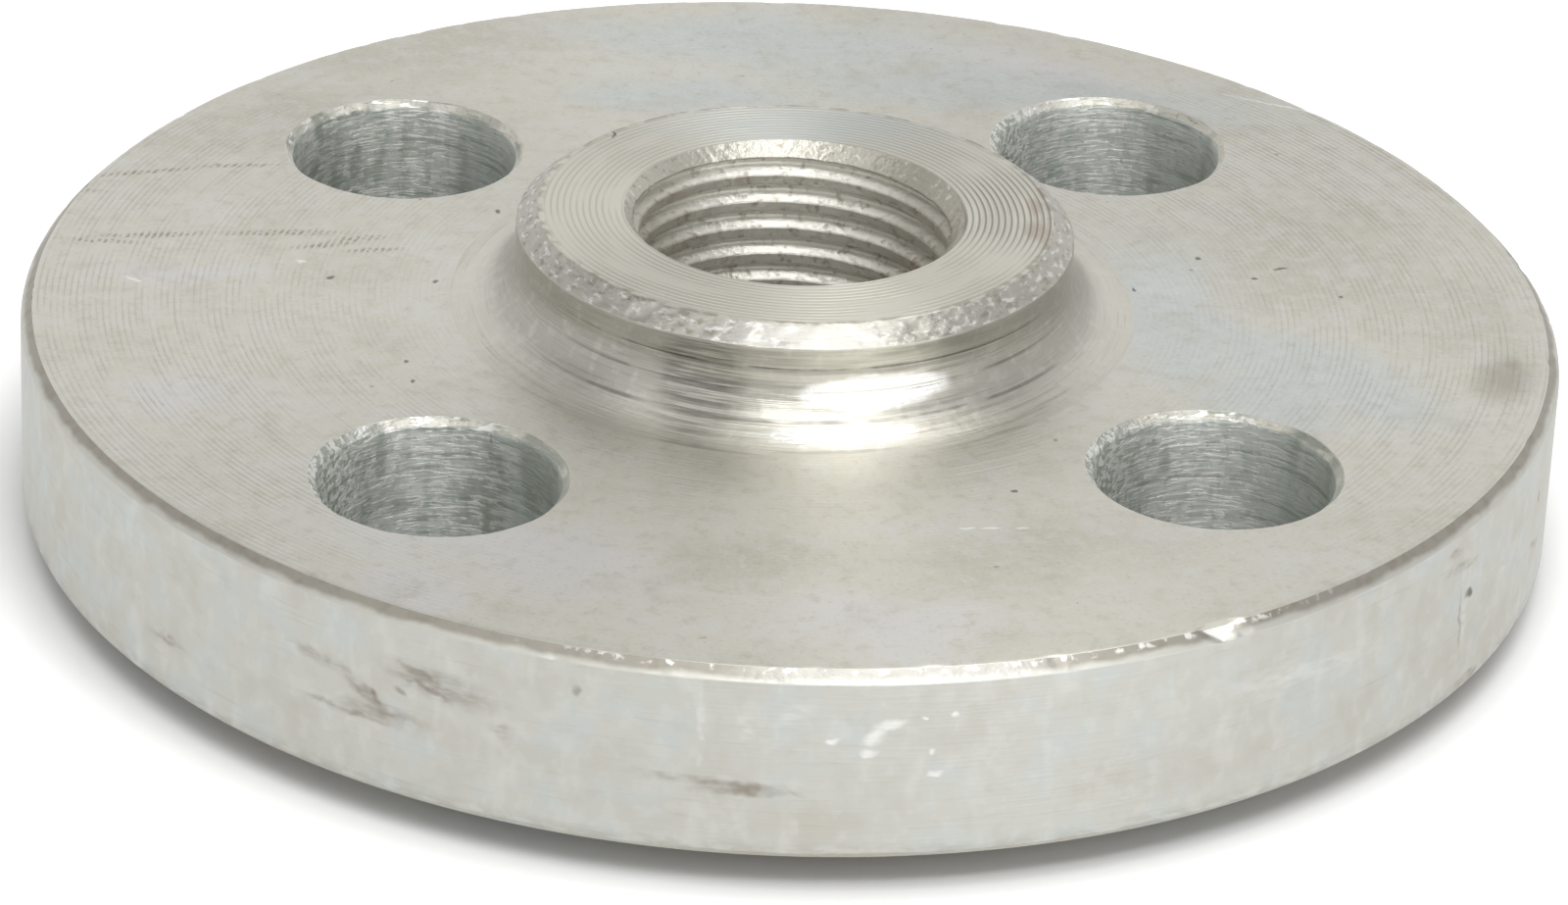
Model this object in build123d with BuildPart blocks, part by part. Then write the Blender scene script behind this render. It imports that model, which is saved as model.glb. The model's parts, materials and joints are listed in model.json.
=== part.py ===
from build123d import *
import os

# Threaded pipe flange, nominal bore 15, four bolt holes, one turned piece.
# Millimetres. Origin on the bore axis at the sealing face, +Z from there towards the hub.

# Overall form
FLANGE_D = 95.0
DISC_T = 12.0
RAISED_FACE_D = 45.0
RAISED_FACE_H = 2.0

# Hub
HUB_D = 34.4
HUB_H = 6.2
HUB_FILLET_R = 4.0
HUB_CHAMFER_ACROSS = 1.3
HUB_CHAMFER_DOWN = 1.05

# Bore, at the thread's crest diameter
THREAD_CREST_D = 19.2
BORE_CHAMFER = 1.0

# Bolt holes, on the diagonals so that they straddle the X and Y axes
BOLT_CIRCLE_D = 65.0
BOLT_HOLES = 4
BOLT_START_DEG = 45.0
BOLT_HOLE_D = 14.4
BOLT_HOLE_CHAMFER = 0.45

# Broken edges
RIM_CHAMFER_TOP = 0.7
RIM_CHAMFER_BOTTOM = 0.4
FACE_CHAMFER = 0.4
FACE_ROOT_R = 0.8

# Clearances: how far a cutting tool runs past the face that it leaves
TOOL_OVERRUN = 1.0

# Derived radii and heights
rim_r = FLANGE_D / 2
face_r = RAISED_FACE_D / 2
hub_r = HUB_D / 2
bore_r = THREAD_CREST_D / 2
mouth_r = bore_r + BORE_CHAMFER
hole_r = BOLT_HOLE_D / 2
flare_r = hole_r + BOLT_HOLE_CHAMFER + TOOL_OVERRUN
disc_bottom_z = RAISED_FACE_H
disc_top_z = RAISED_FACE_H + DISC_T
hub_top_z = disc_top_z + HUB_H
face_root_out_r = face_r + FACE_ROOT_R
face_root_z = disc_bottom_z - FACE_ROOT_R
fillet_out_r = hub_r + HUB_FILLET_R
fillet_top_z = disc_top_z + HUB_FILLET_R

# Drill with a countersink at each face of the disc, clearing what stands above or below it
with BuildPart() as bolt_drill:
    with BuildSketch(Plane.XZ):
        with BuildLine():
            Polyline(
                (0, -TOOL_OVERRUN),
                (flare_r, -TOOL_OVERRUN),
                (flare_r, disc_bottom_z - TOOL_OVERRUN),
                (hole_r, disc_bottom_z + BOLT_HOLE_CHAMFER),
                (hole_r, disc_top_z - BOLT_HOLE_CHAMFER),
                (flare_r, disc_top_z + TOOL_OVERRUN),
                (flare_r, hub_top_z + TOOL_OVERRUN),
                (0, hub_top_z + TOOL_OVERRUN),
                close=True,
            )
        make_face()
    revolve(axis=Axis.Z)

# Turned section about the bore, then the drilled holes
with BuildPart() as flange:
    with BuildSketch(Plane.XZ):
        with BuildLine():
            Polyline(
                (hub_r, fillet_top_z),
                (hub_r, hub_top_z - HUB_CHAMFER_DOWN),
                (hub_r - HUB_CHAMFER_ACROSS, hub_top_z),
                (mouth_r, hub_top_z),
                (bore_r, hub_top_z - BORE_CHAMFER),
                (bore_r, BORE_CHAMFER),
                (mouth_r, 0),
                (face_r - FACE_CHAMFER, 0),
                (face_r, FACE_CHAMFER),
                (face_r, face_root_z),
            )
            CenterArc((face_root_out_r, face_root_z), FACE_ROOT_R, 90, 90)
            Polyline(
                (face_root_out_r, disc_bottom_z),
                (rim_r - RIM_CHAMFER_BOTTOM, disc_bottom_z),
                (rim_r, disc_bottom_z + RIM_CHAMFER_BOTTOM),
                (rim_r, disc_top_z - RIM_CHAMFER_TOP),
                (rim_r - RIM_CHAMFER_TOP, disc_top_z),
                (fillet_out_r, disc_top_z),
            )
            CenterArc((fillet_out_r, fillet_top_z), HUB_FILLET_R, 180, 90)
        make_face()
    revolve(axis=Axis.Z)
    with PolarLocations(BOLT_CIRCLE_D / 2, BOLT_HOLES, start_angle=BOLT_START_DEG):
        add(bolt_drill.part, mode=Mode.SUBTRACT)

flange.part.label = "flange"
os.makedirs("parts", exist_ok=True)
export_step(flange.part, "parts/flange.step")
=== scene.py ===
"""A zinc-plated steel threaded flange, on a white table under soft studio light.

One welded mesh stands for the turned part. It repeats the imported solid's sizes and adds what is too
fine for it: the pipe thread, the broken and nicked edges and the drill's marks. All in metres.
"""

import json
import math

import bmesh
import bpy
import numpy as np
from mathutils import Matrix, Vector, noise
from mathutils.geometry import delaunay_2d_cdt


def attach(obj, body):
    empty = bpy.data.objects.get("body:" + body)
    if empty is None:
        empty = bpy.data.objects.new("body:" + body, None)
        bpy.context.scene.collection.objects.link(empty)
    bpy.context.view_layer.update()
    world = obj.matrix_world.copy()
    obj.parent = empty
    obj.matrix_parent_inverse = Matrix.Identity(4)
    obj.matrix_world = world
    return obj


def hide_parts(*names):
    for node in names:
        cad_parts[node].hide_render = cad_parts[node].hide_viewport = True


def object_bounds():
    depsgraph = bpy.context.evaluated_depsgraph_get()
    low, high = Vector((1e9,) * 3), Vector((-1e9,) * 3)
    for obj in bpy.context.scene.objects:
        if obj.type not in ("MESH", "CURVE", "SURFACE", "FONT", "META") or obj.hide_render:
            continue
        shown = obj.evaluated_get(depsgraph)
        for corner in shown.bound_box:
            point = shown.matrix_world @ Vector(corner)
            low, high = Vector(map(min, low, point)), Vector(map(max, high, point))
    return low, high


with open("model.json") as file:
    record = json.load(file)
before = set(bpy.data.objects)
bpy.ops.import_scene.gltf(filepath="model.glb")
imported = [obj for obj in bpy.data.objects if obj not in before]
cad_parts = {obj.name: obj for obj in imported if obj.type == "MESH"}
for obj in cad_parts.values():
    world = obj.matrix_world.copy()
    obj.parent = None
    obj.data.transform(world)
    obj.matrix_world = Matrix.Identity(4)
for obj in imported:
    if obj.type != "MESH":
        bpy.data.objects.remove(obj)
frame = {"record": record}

cad_low, cad_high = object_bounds()

MM = 0.001
TAU = 2 * math.pi

# Sizes that the frame gives
mounts = {mount["name"]: mount for mount in frame["record"]["mounts"]}
RIM_R = cad_high.x
HUB_TOP = cad_high.z
DISC_TOP = mounts["nut_face"]["pos_m"][2]
CREST_R = mounts["pipe_thread"]["dims"]["r_mm"] * MM
BORE_CHAMFER = (HUB_TOP - mounts["pipe_thread"]["dims"]["length_mm"] * MM) / 2
BOLT_CIRCLE_R = mounts["bolt_circle"]["dims"]["pcd_mm"] / 2 * MM
BOLT_HOLES = mounts["bolt_circle"]["dims"]["count"]
HOLE_R = mounts["bolt_circle"]["dims"]["hole_r_mm"] * MM

# The rest of the turned section
DISC_BOTTOM = 2.0 * MM
FACE_R = 22.5 * MM
FACE_CHAMFER = 0.4 * MM
FACE_ROOT_R = 0.8 * MM
HUB_R = 17.2 * MM
HUB_FILLET_R = 4.0 * MM
HUB_CHAMFER_ACROSS = 1.3 * MM
HUB_CHAMFER_DOWN = 1.05 * MM
RIM_CHAMFER_TOP = 0.7 * MM
RIM_CHAMFER_BOTTOM = 0.4 * MM
HOLE_CHAMFER = 0.45 * MM
MOUTH_R = CREST_R + BORE_CHAMFER
FILLET_OUT_R = HUB_R + HUB_FILLET_R
FIRST_HOLE = math.radians(45)

# Pipe thread, right-handed, 55 degree form with the crests bored away
PITCH = 1.814 * MM
THREAD_START = 1.054 * MM
ROOT_R = 10.478 * MM
FLANK_ANGLE = math.radians(27.5)
THREAD_ROOT_ARC = 0.249 * MM

# How finely the mesh is cut
RIM_SEGMENTS = 720
HUB_SEGMENTS = 300
HOLE_SEGMENTS = 96
EDGE_BREAK = 0.09 * MM
INSET = 0.07 * MM
QUIET = 0.5 * MM
WELD = 0.4e-6

# Wear that shows in the outline of the edges
CHIP_ANGLE = math.radians(295.8)
CHIP_HALF_WIDTH = 1.25 * MM
CHIP_DEPTH = 0.30 * MM
NICK_DEPTH = 0.10 * MM
EDGE_WAVE = 0.05 * MM
GALL_DEPTH = 0.05 * MM
CREST_WEAR = 0.05 * MM

# The photograph's viewpoint, found from the rim, the holes and the hub in the picture
CAMERA_AZIMUTH = math.radians(-6.58)
CAMERA_ELEVATION = math.radians(27.10)
CAMERA_ROLL = math.radians(2.535)
CAMERA_DISTANCE = 412.68 * MM
CAMERA_FOCAL_PX = 6798.1
PICTURE_WIDTH_PX = 1600
CAMERA_AIM_RIGHT = -0.494 * MM
CAMERA_AIM_UP = -9.353 * MM


def section(corners, edge=EDGE_BREAK, longest=1.2 * MM):
    """Points along a profile whose inner corners are broken by a small curve, with no run too long."""
    corners = [np.array(corner, float) for corner in corners]
    line = [corners[0]]
    for before, corner, after in zip(corners, corners[1:], corners[2:]):
        back, ahead = before - corner, after - corner
        room = min(np.linalg.norm(back), np.linalg.norm(ahead)) / 2.2
        size = min(edge, room / 1.7)
        back, ahead = back / np.linalg.norm(back), ahead / np.linalg.norm(ahead)
        bend = math.degrees(math.acos(np.clip(-back @ ahead, -1, 1)))
        if bend < 12:
            line.append(corner)
            continue
        first, last = corner + back * size, corner + ahead * size
        line.append(corner + back * size * 1.7)
        for share in (0, 0.3, 0.7, 1):
            line.append((1 - share) ** 2 * first + 2 * share * (1 - share) * corner + share**2 * last)
        line.append(corner + ahead * size * 1.7)
    line.append(corners[-1])
    points = [line[0]]
    for start, end in zip(line, line[1:]):
        runs = max(1, math.ceil(np.linalg.norm(end - start) / longest - 1e-6))
        points += [start + (end - start) * step / runs for step in range(1, runs + 1)]
    return np.array(points)


def arc(centre, radius, start, end, steps):
    """Points of a profile's arc, angles in degrees."""
    angles = np.radians(np.linspace(start, end, steps + 1))
    return [(centre[0] + radius * math.cos(a), centre[1] + radius * math.sin(a)) for a in angles]


def run(start, end, steps):
    """Evenly spaced corners of a profile between two of its corners, both left out."""
    start, end = np.array(start), np.array(end)
    return [tuple(start + (end - start) * n / steps) for n in range(1, steps)]


def turned(profile, segments, centre=(0, 0)):
    """The grid of points that a profile sweeps round an upright axis."""
    angles = np.arange(segments + 1) % segments / segments * TAU
    r, z = profile[:, 0][:, None], profile[:, 1][:, None]
    x = centre[0] + r * np.cos(angles)
    y = centre[1] + r * np.sin(angles)
    return np.stack([x, y, np.broadcast_to(z, x.shape)], axis=-1)


def thread_radius(along):
    """The wall's radius at a place along one pitch, in metres from the middle of a crest."""
    along = np.abs((along + PITCH / 2) % PITCH - PITCH / 2)
    arc_half = THREAD_ROOT_ARC * math.cos(FLANK_ANGLE)
    arc_rise = THREAD_ROOT_ARC * (1 - math.sin(FLANK_ANGLE))
    flank_out = ROOT_R - arc_rise
    flank_width = (flank_out - CREST_R) * math.tan(FLANK_ANGLE)
    crest_half = PITCH / 2 - arc_half - flank_width
    from_root = np.clip(PITCH / 2 - along, 0, arc_half)
    root = ROOT_R - THREAD_ROOT_ARC + np.sqrt(np.maximum(THREAD_ROOT_ARC**2 - from_root**2, 0))
    flank = CREST_R + (along - crest_half) / math.tan(FLANK_ANGLE)
    return np.where(along > PITCH / 2 - arc_half, root, np.maximum(flank, CREST_R))


def bore_radius(angle, z):
    """The bore's wall with its thread and the chamfer at each mouth."""
    groove = thread_radius(z - THREAD_START - PITCH * angle / TAU)
    cone = np.maximum(MOUTH_R - (HUB_TOP - z), MOUTH_R - z)
    return np.maximum(groove, cone)


def bore_band(heights):
    """A grid of the bore's wall in level rows."""
    angles = np.arange(HUB_SEGMENTS + 1) % HUB_SEGMENTS / HUB_SEGMENTS * TAU
    z, a = np.meshgrid(heights, angles, indexing="ij")
    r = bore_radius(a, z)
    return np.stack([r * np.cos(a), r * np.sin(a), z], axis=-1)


def bore_ribbon(low, high):
    """The threaded wall between two heights as one ribbon that climbs with the thread."""
    arc_half = THREAD_ROOT_ARC * math.cos(FLANK_ANGLE)
    flank_out = ROOT_R - THREAD_ROOT_ARC * (1 - math.sin(FLANK_ANGLE))
    crest_half = PITCH / 2 - arc_half - (flank_out - CREST_R) * math.tan(FLANK_ANGLE)
    corner = 0.06 * MM
    places = [-crest_half, corner - crest_half, crest_half - corner, crest_half]
    places += [PITCH / 2 - arc_half]
    places += [PITCH / 2 - arc_half * 0.45, PITCH / 2 + arc_half * 0.45]
    places += [PITCH / 2 + arc_half, PITCH - crest_half]
    first = math.floor((low - THREAD_START - PITCH) / PITCH * HUB_SEGMENTS)
    last = math.ceil((high - THREAD_START + PITCH) / PITCH * HUB_SEGMENTS)
    turns = np.arange(first, last + 1)
    angle = (turns % HUB_SEGMENTS) / HUB_SEGMENTS * TAU
    climb = THREAD_START + turns / HUB_SEGMENTS * PITCH
    z = np.clip(climb[None, :] + np.array(places)[:, None], low, high)
    a = np.broadcast_to(angle, z.shape)
    r = bore_radius(a, z)
    return np.stack([r * np.cos(a), r * np.sin(a), z], axis=-1)


def bump_noise(points, per_mm, seed=0.0):
    """Noise from 0 to 1 at points given in metres."""
    scale = per_mm / MM
    return np.array([0.5 + 0.5 * noise.noise(Vector(p) * scale + Vector((seed, 0, 0))) for p in points])


def ease(value, low, high):
    """0 below low, 1 above high, and a smooth rise between."""
    share = np.clip((value - low) / (high - low), 0, 1)
    return share * share * (3 - 2 * share)


def worn(points):
    """The same points with the edges nicked, chipped and galled: each moves by its own place alone."""
    points = points.copy()
    x, y, z = points.T
    r, angle = np.hypot(x, y), np.arctan2(y, x) % TAU
    outward = np.stack([np.cos(angle), np.sin(angle), np.zeros_like(z)], axis=-1)
    upward = np.array([0.0, 0.0, 1.0])
    moved = np.zeros_like(points)

    near_edge = ease(r, RIM_R - 0.90 * MM, RIM_R - 0.72 * MM) * ease(z, DISC_TOP - 1.1 * MM, DISC_TOP - 0.8 * MM)
    rows = near_edge > 0
    wave = bump_noise(points[rows], 0.22) * EDGE_WAVE
    nick = ease(bump_noise(points[rows], 0.9, 7.0), 0.66, 0.85) * NICK_DEPTH
    aside = np.abs((angle[rows] - CHIP_ANGLE + math.pi) % TAU - math.pi) * RIM_R
    reach = CHIP_HALF_WIDTH * ease(z[rows], DISC_TOP - 1.0 * MM, DISC_TOP)
    chip = CHIP_DEPTH * ease(reach - aside, -0.15 * MM, 0.25 * MM)
    slant = (outward[rows] + upward) / math.sqrt(2)
    moved[rows] -= slant * (near_edge[rows] * np.maximum(wave + nick, chip))[:, None]

    collar = ease(r, HUB_R - HUB_CHAMFER_ACROSS - 0.2 * MM, HUB_R - HUB_CHAMFER_ACROSS) * (r < HUB_R + 0.1 * MM)
    collar = collar * ease(z, HUB_TOP - HUB_CHAMFER_DOWN - 0.5 * MM, HUB_TOP - HUB_CHAMFER_DOWN)
    rows = collar > 0
    gall = ease(bump_noise(points[rows], 1.1, 3.0), 0.35, 0.8) * GALL_DEPTH
    moved[rows] -= (outward[rows] + upward) / math.sqrt(2) * (collar[rows] * gall)[:, None]

    inside = (r > CREST_R * 0.9) & (r < MOUTH_R + 0.05 * MM) & (z > 0.1 * MM) & (z < HUB_TOP - 0.1 * MM)
    wear = ease(bump_noise(points[inside], 1.3, 5.0), 0.5, 0.85) * CREST_WEAR
    room = np.clip((ROOT_R - r[inside]) / (ROOT_R - CREST_R), 0, 1)
    moved[inside] += outward[inside] * (wear * room)[:, None]

    for centre in bolt_centres():
        aside = np.hypot(x - centre[0], y - centre[1])
        edge = ease(HOLE_CHAMFER * 1.5 - np.abs(z - DISC_TOP), 0, 0.3 * MM)
        edge = np.maximum(edge, ease(HOLE_CHAMFER * 1.5 - np.abs(z - DISC_BOTTOM), 0, 0.3 * MM))
        edge = edge * ease(HOLE_R + HOLE_CHAMFER + 0.12 * MM - aside, 0, 0.1 * MM)
        rows = edge > 0
        away = np.stack([x - centre[0], y - centre[1], np.zeros_like(x)], axis=-1)[rows] / HOLE_R
        rag = bump_noise(points[rows], 0.7, 11.0) * NICK_DEPTH
        moved[rows] += away * (edge[rows] * rag)[:, None]
    return points + moved


class Shell:
    """Points and faces gathered from grids and flat sheets, welded where they meet."""

    def __init__(self):
        self.points = []
        self.faces = []
        self.count = 0

    def grid(self, points):
        rows, columns = points.shape[:2]
        number = self.count + np.arange(rows * columns).reshape(rows, columns)
        corners = [number[:-1, :-1], number[:-1, 1:], number[1:, 1:], number[1:, :-1]]
        self.faces += np.stack(corners, axis=-1).reshape(-1, 4).tolist()
        self.points.append(points.reshape(-1, 3))
        self.count += rows * columns

    def sheet(self, loops, z):
        """A level sheet between its first loop, the outer one, and the rest."""
        flat = [Vector(point[:2]) for loop in loops for point in loop]
        edges, start = [], 0
        for loop in loops:
            edges += [(start + i, start + (i + 1) % len(loop)) for i in range(len(loop))]
            start += len(loop)
        found = delaunay_2d_cdt(flat, edges, [], 0, 1e-9)
        points, faces = found[0], found[2]
        inside = []
        for face in faces:
            middle = sum((points[i] for i in face), Vector((0, 0))) / len(face)
            if all(contains(loop, middle) == (n == 0) for n, loop in enumerate(loops)):
                inside.append([self.count + i for i in face])
        self.faces += inside
        self.points.append(np.array([(p.x, p.y, z) for p in points]))
        self.count += len(points)

    def mesh(self, name, zones):
        """The welded mesh, its faces given to the materials of the zones that they lie in."""
        data = bpy.data.meshes.new(name)
        plain = np.concatenate(self.points)
        data.from_pydata(plain.tolist(), [], self.faces)
        work = bmesh.new()
        work.from_mesh(data)
        bmesh.ops.remove_doubles(work, verts=work.verts, dist=WELD)
        bmesh.ops.dissolve_degenerate(work, edges=work.edges, dist=WELD)
        bmesh.ops.recalc_face_normals(work, faces=work.faces)
        names = list(zones)
        for face in work.faces:
            face.smooth = True
            face.material_index = names.index(zone_of(face.calc_center_median()))
        places = worn(np.array([vert.co for vert in work.verts]))
        for vert, place in zip(work.verts, places):
            vert.co = place
        work.to_mesh(data)
        work.free()
        for material in zones.values():
            data.materials.append(material)
        return data


def contains(loop, point):
    """Whether a round loop holds a point: its centre and radius tell."""
    centre = loop[:, :2].mean(axis=0)
    radius = np.linalg.norm(loop[0, :2] - centre)
    return math.hypot(point.x - centre[0], point.y - centre[1]) < radius


def bolt_centres():
    """Where the bolt holes stand."""
    angles = [FIRST_HOLE + TAU * n / BOLT_HOLES for n in range(BOLT_HOLES)]
    return [(BOLT_CIRCLE_R * math.cos(a), BOLT_CIRCLE_R * math.sin(a)) for a in angles]


def zone_of(place):
    """The name of the surface that a place on the mesh belongs to."""
    x, y, z = place
    r = math.hypot(x, y)
    hair = 0.02 * MM
    hole = min(math.hypot(x - cx, y - cy) for cx, cy in bolt_centres())
    if hole < HOLE_R + HOLE_CHAMFER - hair:
        wall = DISC_BOTTOM + HOLE_CHAMFER < z < DISC_TOP - HOLE_CHAMFER
        return "bolt_hole" if wall else "bolt_hole_edge"
    if r < MOUTH_R - hair and hair < z < HUB_TOP - hair:
        return "thread" if BORE_CHAMFER < z < HUB_TOP - BORE_CHAMFER else "bore_mouth"
    if z > HUB_TOP - hair:
        return "hub_end"
    if z > DISC_TOP + hair / 2:
        return "hub_chamfer" if z > HUB_TOP - HUB_CHAMFER_DOWN else "hub_side"
    if r > RIM_R - RIM_CHAMFER_TOP and z > DISC_TOP - RIM_CHAMFER_TOP:
        return "rim_edge"
    if z > DISC_TOP - hair:
        return "turned_face"
    if r > RIM_R - hair:
        return "rim"
    return "underside"


def flange_mesh(zones):
    shell = Shell()
    rim_top, rim_low = (RIM_R - RIM_CHAMFER_TOP, DISC_TOP), (RIM_R, DISC_TOP - RIM_CHAMFER_TOP)
    rim = section([
        (RIM_R - RIM_CHAMFER_TOP - QUIET, DISC_TOP),
        (RIM_R - RIM_CHAMFER_TOP - INSET * 3, DISC_TOP),
        rim_top,
        *run(rim_top, rim_low, 4),
        rim_low,
        (RIM_R, DISC_TOP - RIM_CHAMFER_TOP - 0.35 * MM),
        (RIM_R, DISC_BOTTOM + RIM_CHAMFER_BOTTOM),
        (RIM_R - RIM_CHAMFER_BOTTOM, DISC_BOTTOM),
        (RIM_R - RIM_CHAMFER_BOTTOM - INSET * 3, DISC_BOTTOM),
    ], longest=3.0 * MM)
    fillet = arc((FILLET_OUT_R, DISC_TOP + HUB_FILLET_R), HUB_FILLET_R, 270, 180, 14)
    collar_low, collar_top = (HUB_R, HUB_TOP - HUB_CHAMFER_DOWN), (HUB_R - HUB_CHAMFER_ACROSS, HUB_TOP)
    hub = section([
        (FILLET_OUT_R + INSET, DISC_TOP),
        *fillet,
        collar_low,
        *run(collar_low, collar_top, 5),
        collar_top,
        (MOUTH_R, HUB_TOP),
        (MOUTH_R - INSET * 1.5, HUB_TOP - INSET * 1.5),
    ])
    root = arc((FACE_R + FACE_ROOT_R, DISC_BOTTOM - FACE_ROOT_R), FACE_ROOT_R, 180, 90, 5)
    face = section([
        (MOUTH_R - INSET * 1.5, INSET * 1.5),
        (MOUTH_R, 0),
        (FACE_R - FACE_CHAMFER, 0),
        (FACE_R, FACE_CHAMFER),
        *root,
        (FACE_R + FACE_ROOT_R + INSET, DISC_BOTTOM),
    ], longest=2.4 * MM)
    hole = section([
        (HOLE_R + HOLE_CHAMFER + QUIET, DISC_TOP),
        (HOLE_R + HOLE_CHAMFER + INSET * 2, DISC_TOP),
        (HOLE_R + HOLE_CHAMFER, DISC_TOP),
        (HOLE_R, DISC_TOP - HOLE_CHAMFER),
        (HOLE_R, DISC_BOTTOM + HOLE_CHAMFER),
        (HOLE_R + HOLE_CHAMFER, DISC_BOTTOM),
        (HOLE_R + HOLE_CHAMFER + INSET * 2, DISC_BOTTOM),
        (HOLE_R + HOLE_CHAMFER + QUIET, DISC_BOTTOM),
    ], longest=2.4 * MM)
    rim_grid = turned(rim, RIM_SEGMENTS)
    hub_grid = turned(hub, HUB_SEGMENTS)
    face_grid = turned(face, HUB_SEGMENTS)
    hole_grids = [turned(hole, HOLE_SEGMENTS, centre) for centre in bolt_centres()]
    for grid in (rim_grid, hub_grid, face_grid, *hole_grids):
        shell.grid(grid)
    shell.sheet([rim_grid[0, :-1], hub_grid[0, :-1], *(g[0, :-1] for g in hole_grids)], DISC_TOP)
    shell.sheet([rim_grid[-1, :-1], face_grid[-1, :-1], *(g[-1, :-1] for g in hole_grids)], DISC_BOTTOM)
    cone = BORE_CHAMFER + 0.6 * MM
    shell.grid(bore_band(np.linspace(HUB_TOP - INSET * 1.5, HUB_TOP - cone, 22)))
    shell.grid(bore_ribbon(cone, HUB_TOP - cone))
    shell.grid(bore_band(np.linspace(cone, INSET * 1.5, 14)))
    return shell.mesh("threaded_flange", zones)


# Colours, as linear red, green and blue
ZINC = (0.70, 0.68, 0.60)
ZINC_PALE = (0.73, 0.735, 0.70)
ZINC_COOL = (0.60, 0.655, 0.675)
ZINC_LILAC = (0.74, 0.73, 0.76)
ZINC_WARM = (0.56, 0.53, 0.455)
# Tarnish, also laid on in places as painted shade
TARNISH_AND_SHADE = (0.33, 0.305, 0.25)
STRIP = (0.32, 0.295, 0.25)
BROWN = (0.20, 0.15, 0.10)
RUST = (0.30, 0.16, 0.09)
DIRT = (0.06, 0.055, 0.045)
WHITE_DAB = (0.88, 0.88, 0.85)
# Bare metal, also laid on in places as a painted highlight
BARE_AND_HIGHLIGHT = (0.86, 0.85, 0.82)
HOLE_GREY = (0.56, 0.59, 0.555)
HOLE_GREEN = (0.30, 0.335, 0.29)

# The lathe's feed a turn, in millimetres: the rings on the faces stand this far apart
FEED = 0.397

# The room's light by height, and the table: its grey, where the lamps light it, its contact shadow
ROOM_LEVELS = [(0.0, 1.0), (0.14, 1.0), (0.32, 0.82), (0.52, 0.92), (0.70, 0.45), (1.0, 0.35)]
FLOOR_GREY = 0.82
FLOOR_LIT_R = 0.12
CONTACT_REACH = 12 * MM
CONTACT_LEVELS = [(0.30, 0.64), (0.78, 1.20)]

# Marks on the disc's top face: x, y, half length, half width in millimetres, turn in degrees
COOL_PLACES = [(2, 39.5, 13, 4.5, -4), (18, 32, 17, 3.5, -12), (23, -2, 5, 9, 8), (31, -10, 9, 3, -42),
               (28, -14, 5, 4, -40), (-4, 31, 8, 3, 0)]
PALE_PLACES = [(-37.5, 4.8, 3.4, 1.6, -8), (-38, -12.5, 4, 2.4, -20), (-20, -32, 9, 3.6, -25), (1, -41.5, 6, 3.2, 0),
               (-26, -37, 3, 2, 20), (20, 36, 9, 1.6, -18)]
WARM_PLACES = [(34, 6, 7, 8.5, 40), (42, -3, 2.5, 6, 0), (-20, 40, 9, 4, 25), (12, -33, 8, 4, 20), (-5, -33, 4, 3, 0), (24, 31, 6, 3, -40), (-30, 26, 8, 3, 30)]
FACE_STAINS = [(42.6, -11.6, 1.6, 2.6, -20), (43.5, -9.7, 0.7, 1.2, -10)]
RUBBED_STREAKS = [(-39.2, 10.1, 3.1, 0.34, 3), (-31.5, 10.3, 3.4, 0.36, 1), (-26.6, 9.3, 1.6, 0.40, 12),
                  (-28.4, 8.5, 2.0, 0.34, 10), (-25.6, 7.7, 1.5, 0.30, 4), (-42.6, 9.3, 2.4, 0.24, -8),
                  (-40.0, 19.4, 3.4, 0.26, 10), (-33.6, 20.4, 2.4, 0.22, 2), (-44.2, 16.8, 1.6, 0.22, -10)]
FACE_SPECKS = [(-28.4, 3.8, 0.26, 0.16, 60), (-17.5, 13.2, 0.30, 0.12, 80), (-6.6, 25.0, 0.34, 0.12, 85),
               (-22.0, 3.1, 0.16, 0.16, 0), (26.3, 5.8, 0.18, 0.18, 0), (31.4, 4.3, 0.50, 0.15, 10),
               (29.5, 2.9, 0.20, 0.15, 0), (21.6, 1.4, 0.12, 0.26, 0),
               (10.7, -25.6, 0.17, 0.14, 0), (-24.2, -8.0, 0.16, 0.20, 0), (-23.9, -10.6, 0.14, 0.18, 0),
               (34.6, 0.2, 0.12, 0.14, 0)]
FACE_SCRATCHES = [(7.3, -30.2, 0.45, 0.13, 0), (8.7, -30.2, 0.55, 0.12, 2), (10.6, -30.3, 0.35, 0.12, 0),
                  (-40.6, 3.7, 0.6, 0.12, -35), (-30.2, 6.1, 0.22, 0.30, 60), (36.5, 28.6, 5.0, 0.10, -28)]

# Marks on the rim: angle in degrees, height, half length, half height in millimetres, turn in degrees
RIM_STAINS = [(230.5, 9.4, 1.6, 0.28, -10), (234.3, 8.1, 2.2, 0.45, -32), (235.6, 7.2, 2.2, 0.45, 0),
              (233.0, 6.65, 2.8, 0.2, 0), (239.8, 10.05, 2.7, 0.72, -6), (259.6, 6.75, 3.1, 0.26, -3),
              (261.4, 6.3, 2.0, 0.26, 0), (265.1, 6.35, 0.4, 0.16, -20), (244.6, 8.1, 0.6, 0.4, 0), (320.9, 11.0, 1.3, 0.26, -6), (319.6, 12.3, 0.6, 0.25, -8), (321.2, 7.6, 0.12, 1.5, 4),
              (337.0, 6.4, 0.8, 0.22, -20), (323.5, 2.8, 1.3, 0.22, 0), (215.0, 5.6, 1.2, 0.2, 5)]
RIM_CORES = [(238.2, 10.6, 0.9, 0.2, -8), (262.2, 6.55, 0.7, 0.26, 0), (250.0, 11.6, 0.22, 0.28, 0),
             (236.9, 9.0, 0.35, 0.16, 0), (239.0, 9.7, 1.4, 0.18, -12), (234.6, 8.3, 0.8, 0.2, -35)]
RIM_PITS = [(322.35, 8.75, 0.42, 0.32, -15), (337.3, 9.6, 0.12, 0.3, 0)]
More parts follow.
